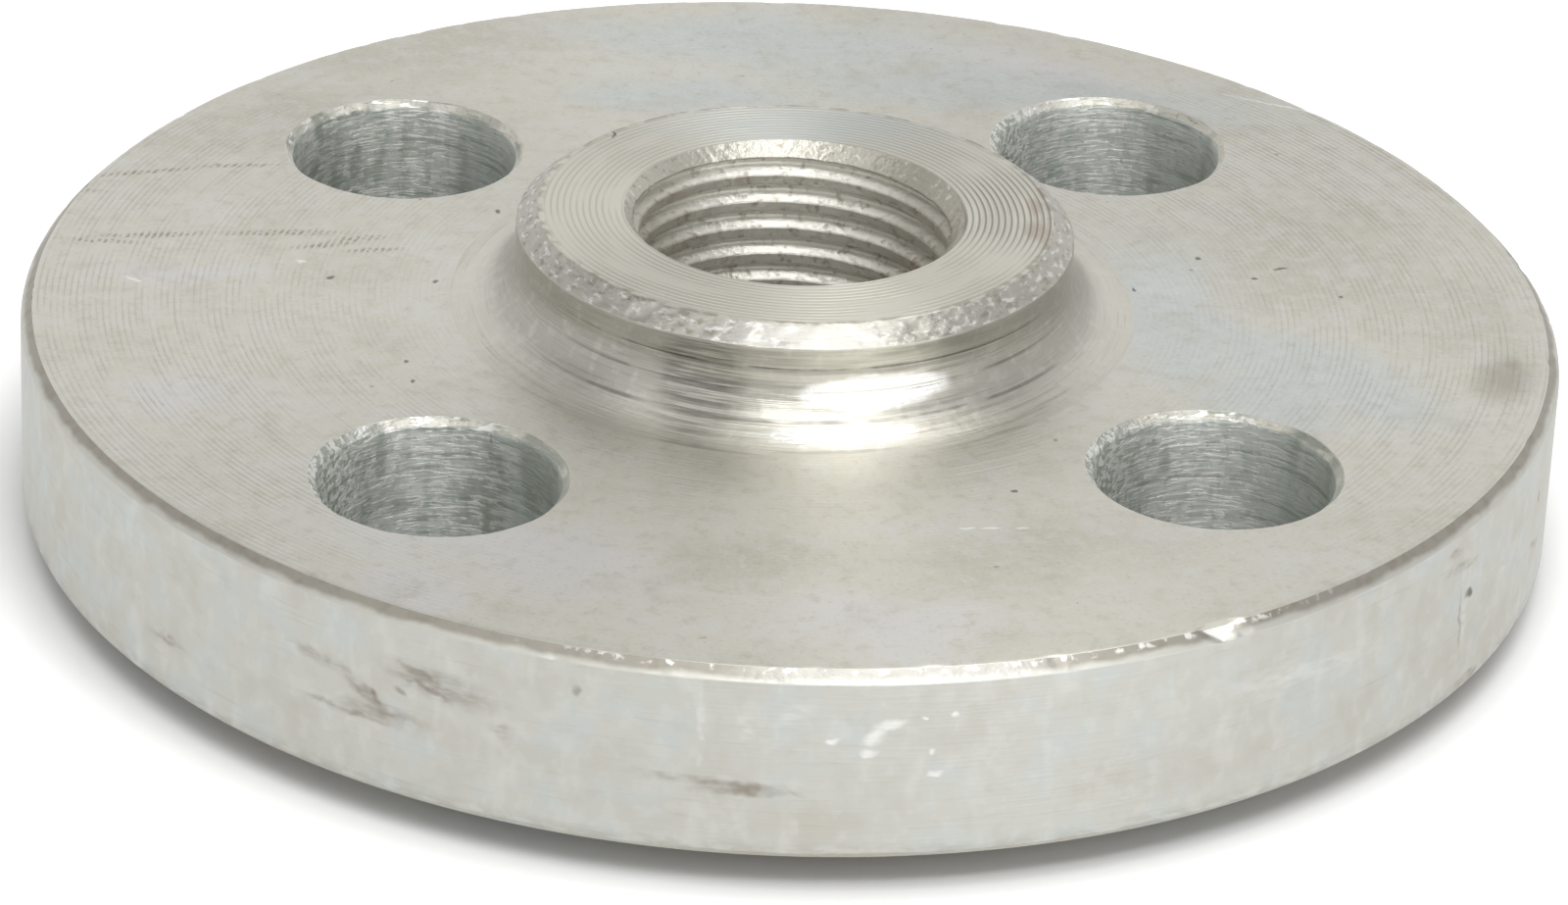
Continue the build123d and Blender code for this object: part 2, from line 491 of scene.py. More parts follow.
RIM_DABS = [(271.3, 10.7, 0.8, 0.26, 20), (270.3, 10.0, 0.6, 0.3, 35), (269.9, 9.0, 0.34, 0.28, 0),
            (267.5, 9.7, 0.34, 0.16, 0), (274.2, 9.0, 0.2, 0.2, 0), (274.6, 7.5, 0.3, 0.18, 0),
            (275.8, 11.3, 0.18, 0.18, 0), (273.8, 11.2, 0.14, 0.12, 0)]
RIM_PALE = [(265.0, 11.5, 1.0, 0.5, 28), (261.5, 10.2, 0.4, 0.9, 10), (258.5, 10.2, 0.15, 2.4, 0),
            (328.6, 8.2, 0.5, 1.2, 10), (321.8, 7.2, 0.32, 1.8, 4), (303.0, 9.6, 6.0, 0.7, -3)]
RIM_WARM = [(293.0, 5.8, 5.5, 1.7, 0), (246.0, 6.9, 8.0, 0.8, -1), (262.0, 4.5, 9.0, 1.0, 0), (322.0, 5.0, 5.0, 2.0, 0)]


class Shade:
    """A metal material written as short expressions. Lengths inside it are in millimetres."""

    def __init__(self, name, colour, roughness, anisotropy, about_holes=False):
        self.material = bpy.data.materials.new(name)
        self.material.use_nodes = True
        self.tree = self.material.node_tree
        self.shader = self.tree.nodes["Principled BSDF"]
        self.shader.inputs["Anisotropic"].default_value = anisotropy
        self.shader.inputs["Anisotropic Rotation"].default_value = 0.25
        self.colour, self.roughness, self.metallic, self.height = colour, roughness, 1.0, None
        raw = self.node("ShaderNodeTexCoord").outputs["Object"]
        self.place = self.scaled(raw, 1 / MM)
        x, y, self.z = self.node("ShaderNodeSeparateXYZ", self.place).outputs
        self.seed = 0.0
        if about_holes:
            offset = BOLT_CIRCLE_R / math.sqrt(2) / MM
            side_x, side_y = self.math("SIGN", x), self.math("SIGN", y)
            x = self.math("MULTIPLY_ADD", side_x, -offset, x)
            y = self.math("MULTIPLY_ADD", side_y, -offset, y)
            self.seed = self.math("MULTIPLY_ADD", side_x, 17.3, self.math("MULTIPLY", side_y, 41.9))
        self.r = self.math("SQRT", self.math("MULTIPLY_ADD", x, x, self.math("MULTIPLY", y, y)))
        self.angle = self.math("ARCTAN2", y, x)
        self.cos, self.sin = self.math("DIVIDE", x, self.r), self.math("DIVIDE", y, self.r)
        self.plan = self.joined(x, y, 0.0)
        tangent = self.joined(self.math("MULTIPLY", self.sin, -1.0), self.cos, 0.0)
        self.tree.links.new(tangent, self.shader.inputs["Tangent"])

    def node(self, kind, *values, **settings):
        node = self.tree.nodes.new(kind)
        for name, value in settings.items():
            setattr(node, name, value)
        sockets = [socket for socket in node.inputs if socket.enabled]
        for socket, value in zip(sockets, values):
            if isinstance(value, bpy.types.NodeSocket):
                self.tree.links.new(value, socket)
            elif value is not None:
                socket.default_value = value
        return node

    def math(self, operation, *values):
        return self.node("ShaderNodeMath", *values, operation=operation).outputs[0]

    def scaled(self, vector, by):
        node = self.node("ShaderNodeVectorMath", vector, operation="SCALE")
        node.inputs["Scale"].default_value = by
        return node.outputs[0]

    def joined(self, x, y, z):
        return self.node("ShaderNodeCombineXYZ", x, y, z).outputs[0]

    def rise(self, value, low, high):
        """0 at low, 1 at high, and a smooth change between."""
        node = self.node("ShaderNodeMapRange", value, low, high, 0.0, 1.0, interpolation_type="SMOOTHSTEP")
        return node.outputs[0]

    def mixed(self, kind, share, first, second):
        return [out for out in self.node("ShaderNodeMix", share, first, second, data_type=kind).outputs
                if out.enabled][0]

    def noise(self, vector, per_mm, detail=2.0, colour=False):
        node = self.node("ShaderNodeTexNoise", vector, float(per_mm), float(detail))
        return node.outputs["Color" if colour else 0]

    def cloud(self, per_mm, seed=0.0, detail=2.0):
        """Noise that is the same in every direction."""
        moved = self.node("ShaderNodeVectorMath", self.place, (seed, seed * 0.7, seed * 1.3), operation="ADD")
        return self.noise(moved.outputs[0], per_mm, detail)

    def streak(self, across, lines_per_mm, around, seed=0.0, detail=2.0):
        """Noise drawn out along the circumference, in lines that follow each other along across."""
        third = self.math("MULTIPLY_ADD", across, float(lines_per_mm), self.math("ADD", self.seed, float(seed)))
        vector = self.joined(
            self.math("MULTIPLY", self.cos, float(around)), self.math("MULTIPLY", self.sin, float(around)), third)
        return self.noise(vector, 1.0, detail)

    def lane(self, feed):
        """1 on the ridge between two turns of the tool's spiral and 0 in the middle of each turn."""
        turns = self.math("SUBTRACT", self.math("DIVIDE", self.r, feed), self.math("DIVIDE", self.angle, TAU))
        return self.math("MULTIPLY", self.math("ABSOLUTE", self.math("SUBTRACT", self.math("FRACT", turns), 0.5)), 2.0)

    def warped(self, vector, per_mm, by):
        """Flat coordinates pushed about by noise, so that a mark's outline is ragged."""
        shift = self.node("ShaderNodeVectorMath", self.noise(self.place, per_mm, 1.0, colour=True),
                          (0.5, 0.5, 0.5), operation="SUBTRACT").outputs[0]
        return self.node("ShaderNodeVectorMath", shift, (by, by, 0), vector, operation="MULTIPLY_ADD").outputs[0]

    def spots(self, vector, marks, soft=0.5):
        """A mask that is 1 inside each oval mark: centre, half sizes and turn."""
        mask = None
        for across, along, half_length, half_width, turn in marks:
            node = self.node("ShaderNodeMapping", vector, (across, along, 0), (0, 0, math.radians(turn)),
                             (half_length, half_width, 1), vector_type="TEXTURE")
            reach = self.node("ShaderNodeVectorMath", node.outputs[0], operation="LENGTH").outputs["Value"]
            oval = self.rise(reach, 1.0 + soft / 2, 1.0 - soft / 2)
            mask = oval if mask is None else self.math("MAXIMUM", mask, oval)
        return mask

    def unrolled(self, radius):
        """Flat coordinates on a wall of that radius: along it and up."""
        return self.joined(self.math("MULTIPLY", self.angle, radius / MM), self.z, 0.0)

    def times(self, *values):
        product = values[0]
        for value in values[1:]:
            product = self.math("MULTIPLY", product, value)
        return product

    def tint(self, colour, mask, strength=1.0):
        """Lays a colour over the surface as far as the mask and the strength say."""
        first, second = ((*c, 1.0) if isinstance(c, tuple) else c for c in (self.colour, colour))
        self.colour = self.mixed("RGBA", self.times(mask, float(strength)), first, second)

    def rub(self, roughness, mask):
        self.roughness = self.mixed("FLOAT", mask, self.roughness, float(roughness))

    def dull(self, metallic, mask):
        self.metallic = self.mixed("FLOAT", mask, self.metallic, float(metallic))

    def lift(self, mask, by):
        """Raises the surface that the bump follows, by a height in millimetres."""
        height = self.math("MULTIPLY", mask, by * MM)
        self.height = height if self.height is None else self.math("ADD", self.height, height)

    def done(self):
        for name, value in (("Roughness", self.roughness), ("Metallic", self.metallic)):
            if isinstance(value, bpy.types.NodeSocket):
                self.tree.links.new(value, self.shader.inputs[name])
            else:
                self.shader.inputs[name].default_value = value
        self.tree.links.new(self.colour, self.shader.inputs["Base Color"])
        bump = self.tree.nodes.new("ShaderNodeBump")
        bump.inputs["Distance"].default_value = 1.0
        self.tree.links.new(self.height, bump.inputs["Height"])
        self.tree.links.new(bump.outputs[0], self.shader.inputs["Normal"])
        return self.material


def turned_face():
    """The disc's top: rings from the facing cut under a patchy zinc coat, with painted shade in the side grooves."""
    shade = Shade("turned_face", ZINC, roughness=0.41, anisotropy=0.6)
    flat = shade.warped(shade.plan, 0.12, 9.0)
    shade.tint(ZINC_WARM, shade.spots(flat, WARM_PLACES, 1.4), 0.50)
    shade.tint(ZINC_COOL, shade.spots(flat, COOL_PLACES, 1.2), 0.60)
    shade.tint(ZINC_LILAC, shade.spots(flat, PALE_PLACES, 1.4), 0.50)
    clouds = shade.cloud(0.20, 4.0)
    shade.tint(ZINC_WARM, shade.rise(clouds, 0.52, 0.72), 0.30)
    shade.tint(ZINC_PALE, shade.rise(clouds, 0.48, 0.28), 0.40)
    ridge = shade.lane(FEED)
    kept = shade.rise(shade.streak(shade.r, 0.9, 7.0, 2.0), 0.36, 0.62)
    # The grooves are painted darker toward the left and right sides: painted shade. Their bump is stronger there too.
    beside = shade.times(shade.rise(shade.math("ABSOLUTE", shade.cos), 0.60, 0.95), shade.rise(shade.r, 14.0, 40.0))
    groove = shade.times(shade.rise(ridge, 0.55, 0.0), kept)
    shade.tint(TARNISH_AND_SHADE, shade.times(groove, beside), 0.34)
    shade.lift(shade.times(ridge, ridge, kept, shade.math("MULTIPLY_ADD", beside, 0.85, 0.15)), 0.038)
    arcs = shade.streak(shade.r, 2.0, 2.4, 61.0)
    shade.lift(shade.times(arcs, shade.rise(shade.r, 33.0, 22.0)), 0.030)
    fine = shade.streak(shade.r, 7.0, 9.0, 5.0, 2.0)
    shade.lift(fine, 0.010)
    shade.rub(0.33, shade.rise(fine, 0.5, 0.8))
    mottle = shade.cloud(0.9, 91.0, 3.0)
    shade.tint(ZINC_PALE, shade.rise(mottle, 0.50, 0.66), 0.34)
    shade.tint(ZINC_WARM, shade.rise(mottle, 0.46, 0.30), 0.38)
    grain = shade.cloud(3.4, 11.0, 1.0)
    shade.tint(ZINC_PALE, shade.rise(grain, 0.52, 0.74), 0.34)
    shade.tint(TARNISH_AND_SHADE, shade.rise(grain, 0.42, 0.22), 0.16)
    shade.lift(grain, 0.007)
    near = shade.warped(shade.plan, 1.6, 0.5)
    rubbed = shade.times(shade.spots(near, RUBBED_STREAKS, 1.6), shade.rise(ridge, 0.9, 0.3), shade.rise(grain, 0.30, 0.60))
    shade.tint(BROWN, rubbed, 0.66)
    shade.tint(BROWN, shade.times(shade.spots(near, FACE_STAINS, 1.6), shade.rise(fine, 0.15, 0.45)), 0.42)
    shade.tint(DIRT, shade.spots(near, FACE_SPECKS, 0.8), 0.70)
    scratched = shade.spots(near, FACE_SCRATCHES, 0.8)
    shade.tint(WHITE_DAB, scratched, 0.95)
    pits = shade.rise(shade.cloud(1.1, 31.0, 1.0), 0.79, 0.84)
    shade.tint(TARNISH_AND_SHADE, pits, 0.6)
    shade.lift(pits, -0.02)
    return shade.done()


def on_wall(marks, radius):
    """Marks on a wall, moved from degrees round it to millimetres round it."""
    mm_per_degree = radius / MM * TAU / 360
    return [((angle - 360) * mm_per_degree, *rest) for angle, *rest in marks]


def rim():
    """The disc's outside: dull, with faint turning lines, brown stains, pale dabs and a pit."""
    shade = Shade("rim", (0.63, 0.63, 0.585), roughness=0.50, anisotropy=0.5)
    unrolled = shade.unrolled(RIM_R)
    near = shade.warped(unrolled, 1.1, 0.7)
    clouds = shade.cloud(0.28, 3.0)
    shade.tint(ZINC_COOL, shade.rise(clouds, 0.50, 0.66), 0.32)
    shade.tint(ZINC_WARM, shade.rise(clouds, 0.48, 0.32), 0.32)
    shade.tint(ZINC_WARM, shade.spots(unrolled, on_wall(RIM_WARM, RIM_R), 1.6), 0.30)
    lines = shade.streak(shade.z, 5.0, 10.0, 1.0)
    shade.tint(TARNISH_AND_SHADE, shade.rise(lines, 0.60, 0.80), 0.16)
    shade.lift(lines, 0.020)
    patchy = shade.rise(shade.streak(shade.z, 2.4, 34.0, 21.0), 0.34, 0.60)
    # Patches darker towards the bottom edge.
    shade.tint(TARNISH_AND_SHADE, shade.times(shade.rise(shade.z, 3.4, 2.3), patchy), 0.35)
    smeared = shade.math("MULTIPLY_ADD", patchy, 0.65, 0.35)
    shade.tint(BROWN, shade.times(shade.spots(near, on_wall(RIM_STAINS, RIM_R), 1.8), smeared), 0.52)
    shade.tint(BROWN, shade.spots(near, on_wall(RIM_CORES, RIM_R), 1.4), 0.45)
    pits = shade.spots(near, on_wall(RIM_PITS, RIM_R), 0.8)
    shade.tint(DIRT, pits, 0.75)
    shade.lift(pits, -0.05)
    mottle = shade.cloud(0.8, 91.0, 4.0)
    shade.tint(ZINC_PALE, shade.rise(mottle, 0.52, 0.66), 0.26)
    shade.tint(ZINC_WARM, shade.rise(mottle, 0.46, 0.32), 0.22)
    wiped = shade.rise(shade.streak(shade.z, 0.25, 26.0, 77.0), 0.56, 0.76)
    shade.tint(WHITE_DAB, wiped, 0.18)
    shade.tint(WHITE_DAB, shade.times(shade.spots(near, on_wall(RIM_PALE, RIM_R), 1.6), patchy), 0.28)
    dabs = shade.times(shade.spots(near, on_wall(RIM_DABS, RIM_R), 1.4), shade.math("MULTIPLY_ADD", lines, 0.8, 0.5))
    shade.tint(WHITE_DAB, dabs, 0.80)
    shade.dull(0.4, dabs)
    return shade.done()


def rim_edge():
    """The rim's upper chamfer: tarnished above, with bright bruises where it was knocked.
    Its darker zinc is painted shade, and its lighter front a painted highlight.
    """
    # Its zinc is painted darker than the face's, as painted shade.
    shade = Shade("rim_edge", (0.60, 0.595, 0.545), roughness=0.48, anisotropy=0.5)
    around = shade.cloud(0.45, 2.0, 3.0)
    dark = shade.rise(shade.math("MULTIPLY_ADD", around, 0.5, shade.z), 13.62, 13.92)
    shade.tint(STRIP, dark, 0.80)
    shade.tint(BROWN, shade.times(dark, shade.rise(shade.cloud(1.1, 17.0, 2.0), 0.44, 0.76)), 0.25)
    shade.lift(shade.streak(shade.r, 6.0, 20.0, 3.0, 1.0), 0.012)
    shade.lift(shade.cloud(2.2, 8.0, 1.0), 0.010)
    # Painted highlight: the front of the chamfer is lighter.
    front = shade.rise(shade.math("ABSOLUTE", shade.math("ADD", shade.angle, math.radians(88))), 0.25, 0.12)
    shade.tint(ZINC_PALE, front, 0.40)
    shade.lift(shade.times(front, shade.cloud(1.4, 37.0, 4.0)), 0.10)
    upper = shade.rise(shade.r, 47.12, 46.95)
    knocked = shade.rise(shade.math("ABSOLUTE", shade.math("ADD", shade.angle, math.radians(83))), 0.60, 0.35)
    bruised = shade.times(shade.rise(shade.cloud(1.5, 23.0, 3.0), 0.54, 0.66), upper, knocked)
    shade.tint(WHITE_DAB, bruised, 0.85)
    aside = shade.math("MULTIPLY", shade.math("ABSOLUTE", shade.math("SUBTRACT", shade.angle, CHIP_ANGLE - TAU)),
                       RIM_R / MM)
    reach = shade.math("MULTIPLY", shade.rise(shade.z, 12.95, 13.95), CHIP_HALF_WIDTH / MM)
    chip = shade.rise(shade.math("SUBTRACT", reach, aside), -0.05, 0.12)
    shade.tint(WHITE_DAB, chip, 0.95)
    shade.dull(0.3, chip)
    return shade.done()


def hub_end():
    """The hub's end face: strong rings, a rust tint at one side, a brown line by the outer edge."""
    shade = Shade("hub_end", ZINC, roughness=0.42, anisotropy=0.7)
    shade.tint(ZINC_COOL, shade.spots(shade.warped(shade.plan, 0.2, 4.0), [(2, 13, 9, 3, 0)], 1.4), 0.50)
    ridge = shade.lane(FEED)
    kept = shade.rise(shade.streak(shade.r, 0.6, 2.0, 7.0, 2.0), 0.30, 0.55)
    groove = shade.rise(ridge, 0.60, 0.0)
    shade.tint(TARNISH_AND_SHADE, shade.times(groove, kept), 0.40)
    shade.lift(shade.times(ridge, ridge, kept), 0.040)
    coarse = shade.rise(shade.cos, 0.86, 0.985)
    shade.tint(DIRT, shade.times(groove, coarse), 0.56)
    shade.lift(shade.times(ridge, coarse), 0.09)
    fine = shade.streak(shade.r, 8.0, 8.0, 15.0)
    shade.lift(fine, 0.006)
    near = shade.warped(shade.plan, 1.2, 0.9)
    shade.tint(RUST, shade.spots(near, [(14.6, -3.2, 0.9, 1.3, 10), (14.9, 0.4, 0.4, 1.2, 0)], 1.2), 0.30)
    shade.tint(DIRT, shade.spots(near, [(-10.4, 11.4, 0.12, 0.4, 10)], 0.8), 0.8)
    brim = shade.times(shade.rise(shade.r, 15.35, 15.8), shade.rise(shade.cloud(0.9, 5.0, 3.0), 0.42, 0.60))
    shade.tint(BROWN, brim, 0.45)
    return shade.done()


def hub_chamfer():
    """The hub's outer chamfer, galled where it was rolled about.
    Its darker zinc is painted shade, and its lighter front a painted highlight.
    """
    # Its zinc is painted darker than the face's, as painted shade.
    shade = Shade("hub_chamfer", (0.47, 0.455, 0.41), roughness=0.42, anisotropy=0.5)
    rough = shade.streak(shade.r, 2.6, 20.0, 5.0, 4.0)
    from_front = shade.math("ABSOLUTE", shade.math("ADD", shade.angle, math.radians(92)))
    galled = shade.times(shade.rise(from_front, -0.15, 0.45), shade.rise(shade.cloud(0.5, 31.0), 0.30, 0.52))
    shade.lift(shade.times(rough, galled), 0.11)
    shade.tint(BROWN, shade.times(shade.rise(rough, 0.50, 0.32), galled), 0.50)
    shade.tint(BARE_AND_HIGHLIGHT, shade.rise(shade.streak(shade.r, 3.4, 22.0, 15.0, 4.0), 0.54, 0.68), 0.60)
    # Painted highlight: the front of the chamfer is lighter.
    shade.tint(ZINC_PALE, shade.rise(from_front, 0.40, 0.15), 0.25)
    shade.lift(shade.streak(shade.r, 6.0, 8.0, 25.0, 2.0), 0.022)
    return shade.done()


def hub_side():
    """The hub's side and its fillet: turning lines, painted shade in its darker zinc and on the right,
    painted highlights on a burnished patch in front, and a dark stain left of it, partly a painted dark reflection.
    """
    # Its zinc is painted darker than the face's, as painted shade; at the foot it blends back to the face's zinc.
    shade = Shade("hub_side", (0.44, 0.43, 0.385), roughness=0.34, anisotropy=0.75)
    foot = shade.rise(shade.z, 15.4, 14.1)
    shade.tint(ZINC, foot, 0.9)
    shade.rub(0.40, foot)
    mottle = shade.cloud(1.1, 51.0, 3.0)
    shade.lift(mottle, 0.03)
    shade.tint(ZINC_PALE, shade.rise(mottle, 0.50, 0.70), 0.25)
    along = shade.math("SUBTRACT", shade.z, shade.r)
    lines = shade.streak(along, 2.6, 2.5, 4.0, 2.0)
    shade.lift(lines, 0.026)
    front = shade.rise(shade.sin, -0.35, -0.85)
    shade.tint(TARNISH_AND_SHADE, shade.times(shade.rise(lines, 0.46, 0.34), shade.rise(front, -0.5, 1.0)), 0.35)
    # Painted highlight: lighter streaks across the front of the wall.
    shade.tint(ZINC, shade.times(shade.rise(shade.sin, -0.75, -0.95), shade.rise(lines, 0.40, 0.60)), 0.50)
    # Painted shade: the right side is darker above the foot.
    shade.tint(TARNISH_AND_SHADE, shade.times(shade.rise(shade.cos, 0.30, 0.80), shade.rise(shade.z, 14.4, 16.0)), 0.35)
    fine = shade.streak(along, 9.0, 5.0, 9.0, 2.0)
    shade.lift(fine, 0.024)
    shade.tint(TARNISH_AND_SHADE, shade.rise(fine, 0.44, 0.28), 0.30)
    broken = shade.times(shade.rise(shade.streak(shade.z, 0.6, 5.0, 43.0), 0.36, 0.56), front)
    for height in (17.8, 16.4, 15.0):
        score = shade.rise(shade.math("ABSOLUTE", shade.math("SUBTRACT", shade.z, height)), 0.12, 0.02)
        score = shade.times(score, broken)
        shade.tint(DIRT, score, 0.50)
        shade.lift(score, -0.03)
    # A dark patch left of the front: stain, and a painted dark reflection.
    near = shade.warped(shade.unrolled(HUB_R), 0.9, 1.2)
    stain_and_dark_reflection = shade.spots(near, on_wall([(246, 16.8, 2.6, 2.7, 0)], HUB_R), 0.8)
    patch = shade.times(stain_and_dark_reflection, shade.rise(fine, 0.30, 0.60))
    shade.tint(DIRT, patch, 0.60)
    # Two smoother patches in front, with painted highlights laid on them in the bare-metal colour.
    level = shade.warped(shade.unrolled(HUB_R), 0.9, 0.4)
    burnish_and_highlight = shade.spots(level, on_wall([(281, 16.4, 4.6, 0.95, 0)], HUB_R), 0.25)
    foot_polish_and_highlight = shade.spots(level, on_wall([(273, 14.45, 4.2, 0.36, 0)], HUB_R), 0.5)
    shade.tint(BARE_AND_HIGHLIGHT, shade.math("MAXIMUM", burnish_and_highlight, shade.math("MULTIPLY", foot_polish_and_highlight, 0.7)), 0.85)
    shade.rub(0.24, shade.math("MAXIMUM", burnish_and_highlight, foot_polish_and_highlight))
    return shade.done()


def bore_mouth():
    """The countersinks at the bore's two mouths, pitted, with painted shade on the right."""
    shade = Shade("bore_mouth", (0.54, 0.52, 0.46), roughness=0.40, anisotropy=0.6)
    pits = shade.cloud(2.2, 5.0, 3.0)
    # Painted shade: the right side is darker.
    shade.tint(TARNISH_AND_SHADE, shade.rise(shade.cos, 0.2, 0.9), 0.5)
    shade.tint(BROWN, shade.rise(pits, 0.42, 0.28), 0.45)
    shade.tint(BARE_AND_HIGHLIGHT, shade.rise(pits, 0.58, 0.72), 0.50)
    shade.lift(pits, 0.10)
    shade.lift(shade.streak(shade.z, 8.0, 6.0, 2.0), 0.020)
    return shade.done()


def thread():
    """The pipe thread: bright flanks, torn in places, with dirt along the crests and painted shade at the sides."""
    shade = Shade("thread", (0.86, 0.845, 0.78), roughness=0.45, anisotropy=0.5)
    shade.metallic = 0.70
    crest = shade.rise(shade.r, CREST_R / MM + 0.16, CREST_R / MM + 0.04)
    shade.tint(TARNISH_AND_SHADE, crest, 0.45)
    # Painted shade: the left and right sides of the bore are darker.
    shade.tint(TARNISH_AND_SHADE, shade.rise(shade.math("ABSOLUTE", shade.cos), 0.35, 0.90), 0.55)
    torn = shade.cloud(1.7, 3.0, 4.0)
    shade.lift(torn, 0.11)
    shade.tint(BROWN, shade.rise(torn, 0.46, 0.30), 0.50)
    shade.lift(shade.streak(shade.r, 9.0, 9.0, 6.0, 1.0), 0.012)
    shade.tint(RUST, shade.times(crest, shade.rise(shade.cloud(1.2, 21.0, 2.0), 0.55, 0.70)), 0.30)
    return shade.done()


def bolt_hole(name, colour, edge):
    """A drilled wall: bright score marks on grey-green, with darker and brighter sides and painted glints; a torn edge.
    """
    shade = Shade(name, colour, roughness=0.55, anisotropy=0.85, about_holes=True)
    shade.metallic = 0.85
    slope = shade.math("MULTIPLY_ADD", shade.angle, 0.30, shade.z)
    sides = shade.streak(shade.z, 0.08, 2.6, 8.0, 1.0)
    shade.tint(HOLE_GREEN, shade.rise(sides, 0.56, 0.38), 0.60)
    upright = shade.streak(slope, 0.7, 8.0, 12.0, 3.0)
    shade.lift(upright, 0.045)
    lines = shade.streak(slope, 2.6, 1.6, 4.0, 3.0)
    shade.lift(lines, 0.10 if not edge else 0.02)
    shade.tint(HOLE_GREEN, shade.rise(lines, 0.48, 0.34), 0.65)
    # The left and centre of each wall: denser score marks, and painted glints.
    worked = shade.rise(shade.cos, 0.70, 0.25)
    scratches = shade.rise(shade.streak(slope, 5.0, 6.0, 19.0, 3.0), 0.48, 0.58)
    glinting = shade.times(worked, shade.rise(upright, 0.38, 0.62))
    shade.tint(BARE_AND_HIGHLIGHT, glinting, 0.30)
    bright = shade.times(scratches, shade.rise(upright, 0.36, 0.56), shade.math("MULTIPLY_ADD", worked, 0.8, 0.2))
    shade.tint(BARE_AND_HIGHLIGHT, bright, 0.95)
    shade.rub(0.38, bright)
    shade.lift(scratches, 0.03)
    torn = shade.cloud(2.4, 6.0, 4.0)
    shade.lift(torn, 0.05)
    shade.tint(TARNISH_AND_SHADE if edge else HOLE_GREEN, shade.rise(torn, 0.42, 0.28), 0.45)
    spared = shade.math("COMPARE", shade.seed, 24.6, 1.0)
    galled = shade.times(shade.rise(shade.cos, -0.40, -0.84), shade.math("SUBTRACT", 1.0, spared))
    shade.tint(ZINC_PALE, galled, 0.85)
    ragged = shade.times(galled, shade.rise(torn, 0.54, 0.42))
    shade.tint(HOLE_GREEN, ragged, 0.80)
    shade.lift(ragged, -0.06)
    shade.dull(0.5, galled)
    return shade.done()


def underside():
    """The raised face and the back of the disc: facing rings, as coarse as the top's."""
    shade = Shade("underside", ZINC, roughness=0.45, anisotropy=0.7)
    shade.tint(ZINC_COOL, shade.rise(shade.cloud(0.09, 60.0, 3.0), 0.44, 0.62), 0.45)
    shade.tint(ZINC_WARM, shade.rise(shade.cloud(0.20, 70.0, 3.0), 0.52, 0.72), 0.35)
    ridge = shade.lane(FEED)
    kept = shade.rise(shade.streak(shade.r, 0.5, 4.0, 12.0, 2.0), 0.25, 0.55)
    shade.tint(TARNISH_AND_SHADE, shade.times(shade.rise(ridge, 0.55, 0.0), kept), 0.30)
    shade.lift(shade.times(ridge, ridge, kept), 0.030)
    shade.lift(shade.streak(shade.r, 9.0, 14.0, 25.0), 0.006)
    return shade.done()


def finishes():
    """The material of each zone, in the order that the mesh holds them."""
    return {
        "turned_face": turned_face(),
        "rim": rim(),
        "rim_edge": rim_edge(),
        "hub_end": hub_end(),
        "hub_chamfer": hub_chamfer(),
        "hub_side": hub_side(),
        "bore_mouth": bore_mouth(),
        "thread": thread(),
        "bolt_hole": bolt_hole("bolt_hole", HOLE_GREY, edge=False),
        "bolt_hole_edge": bolt_hole("bolt_hole_edge", ZINC, edge=True),
        "underside": underside(),
    }


def toward(right, above):
    """A direction from the flange, in degrees to the right of the camera and above the floor."""
    angle = CAMERA_AZIMUTH - math.pi / 2 + math.radians(right)
    level = math.cos(math.radians(above))
    return Vector((math.cos(angle) * level, math.sin(angle) * level, math.sin(math.radians(above))))


def place_camera():
    back = toward(0, math.degrees(CAMERA_ELEVATION))
    level = Vector((math.cos(CAMERA_AZIMUTH), math.sin(CAMERA_AZIMUTH), 0))
    upright = back.cross(level)
    right = level * math.cos(CAMERA_ROLL) + upright * math.sin(CAMERA_ROLL)
    up = upright * math.cos(CAMERA_ROLL) - level * math.sin(CAMERA_ROLL)
    data = bpy.data.cameras.new("camera")
    data.sensor_width = 36
    data.lens = CAMERA_FOCAL_PX / PICTURE_WIDTH_PX * data.sensor_width
    data.clip_start, data.clip_end = 0.01, 20
    camera = bpy.data.objects.new("camera", data)
    aim = right * CAMERA_AIM_RIGHT + up * CAMERA_AIM_UP
    place = Vector((0, 0, DISC_TOP)) + back * CAMERA_DISTANCE + aim
    turn = Matrix((right, up, back)).transposed().to_4x4()
    camera.matrix_world = Matrix.Translation(place) @ turn
    bpy.context.scene.collection.objects.link(camera)
    bpy.context.scene.camera = camera


def softbox(name, right, above, distance, width, height, level, colour=(1, 1, 1)):
    """A square lamp that faces the flange; level is how bright it looks beside white at 1."""
    data = bpy.data.lights.new(name, "AREA")
    data.shape = "RECTANGLE"
    data.size, data.size_y = width, height
    data.energy = level * math.pi * width * height
    data.color = colour
    light = bpy.data.objects.new(name, data)
    light.location = toward(right, above) * distance
    light.rotation_mode = "QUATERNION"
    light.rotation_quaternion = (-light.location).to_track_quat("-Z", "Y")
    light.visible_camera = False
    bpy.context.scene.collection.objects.link(light)


def grey(value):
    return (value, value, value, 1)


def ramp(nodes, links, value, stops):
    """A colour ramp's output, from places and grey levels."""
    node = nodes.new("ShaderNodeValToRGB")
    elements = node.color_ramp.elements
    elements.remove(elements[1])
    elements[0].position, elements[0].color = stops[0][0], grey(stops[0][1])
    for place, level in stops[1:]:
        elements.new(place).color = grey(level)
    links.new(value, node.inputs[0])
    return node.outputs["Color"]


def world_light():
    """The room: white low down on every side, and dimmer toward the ceiling."""
    world = bpy.data.worlds.new("studio")
    bpy.context.scene.world = world
    world.use_nodes = True
    nodes, links = world.node_tree.nodes, world.node_tree.links
    coords = nodes.new("ShaderNodeTexCoord")
    split = nodes.new("ShaderNodeSeparateXYZ")
    links.new(coords.outputs["Generated"], split.inputs[0])
    by_height = ramp(nodes, links, split.outputs["Z"], ROOM_LEVELS)
    links.new(by_height, nodes["Background"].inputs["Color"])


